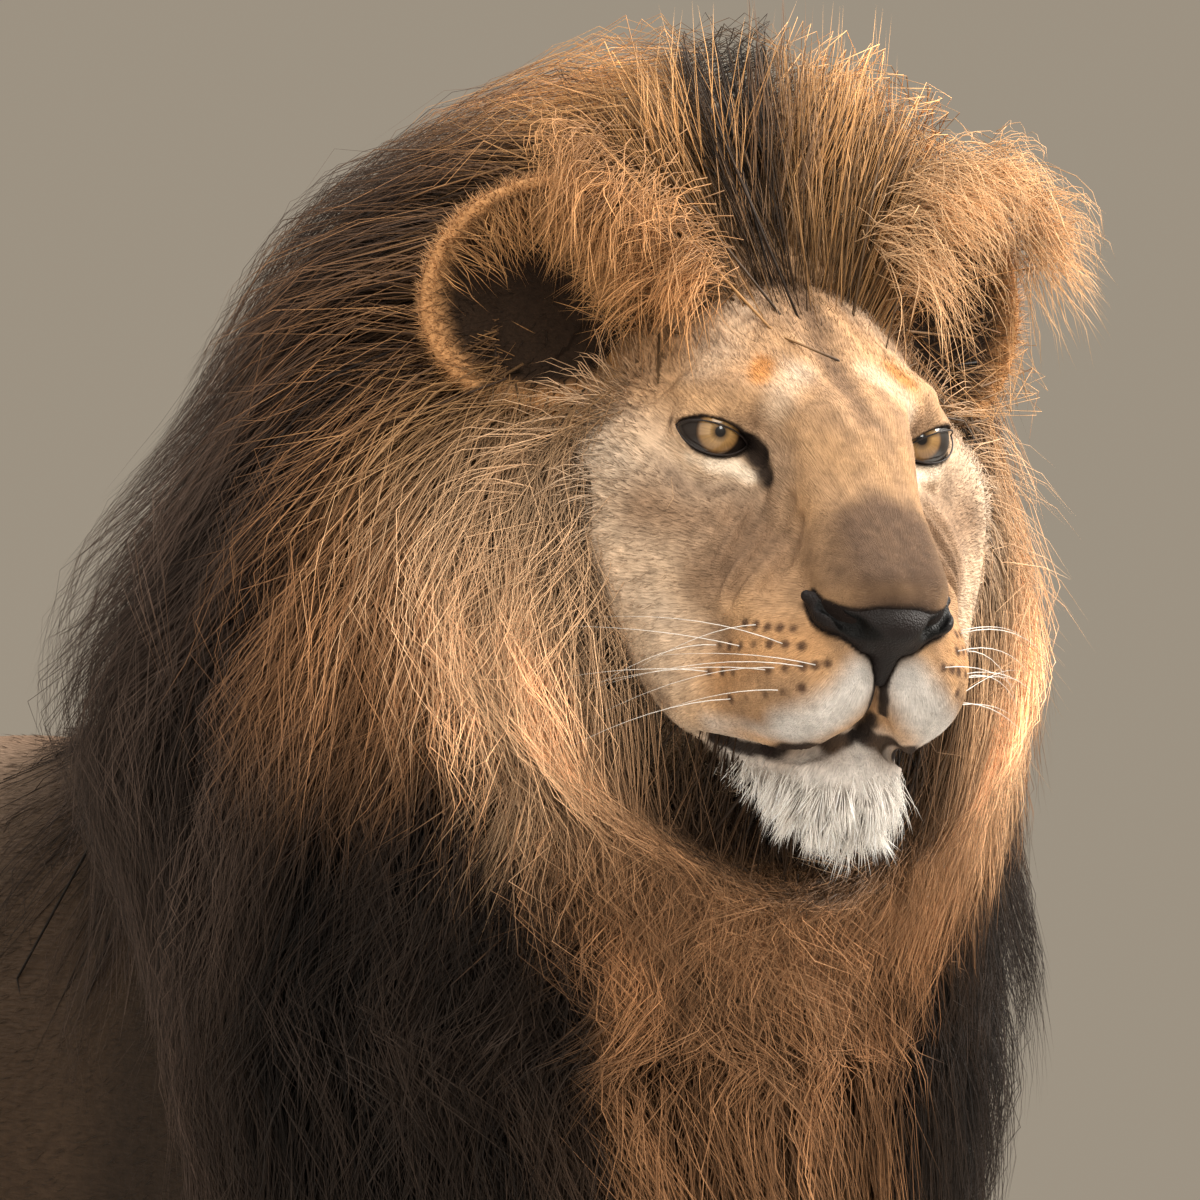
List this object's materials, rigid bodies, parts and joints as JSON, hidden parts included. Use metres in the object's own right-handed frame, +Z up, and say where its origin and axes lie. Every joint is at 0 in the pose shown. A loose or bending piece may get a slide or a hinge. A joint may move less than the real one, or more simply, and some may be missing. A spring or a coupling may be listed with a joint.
{
  "type": "lion",
  "caption": "Life-size standing adult male lion with a full mane, its head raised and turned a little to its right.",
  "frame": {"origin": "floor level, at the middle of the bounding box seen from above", "axes": "+X forward along the body, +Y to the lion's left, +Z up"},
  "size_m": [1.8578, 0.5396, 1.4661],
  "materials": {
    "coat": "short dull grey-tawny fur",
    "face": "short tawny fur",
    "mane": "long loose hair, golden at the face to dark brown",
    "nose": "moist dark skin",
    "eye": "wet, glossy amber"
  },
  "bodies": {
    "root": {"torso": "coat", "fore_leg_left": "coat", "fore_leg_right": "coat", "fore_paw_left": "coat", "fore_paw_right": "coat", "hind_leg_left": "coat", "hind_leg_right": "coat", "hind_paw_left": "coat", "hind_paw_right": "coat", "tail": "coat", "head": "face", "ear_left": "face", "ear_right": "face", "nose": "nose", "eye_left": "eye", "eye_right": "eye", "neck_mane": "mane", "tail_tuft": "mane"}
  },
  "joints": []
}
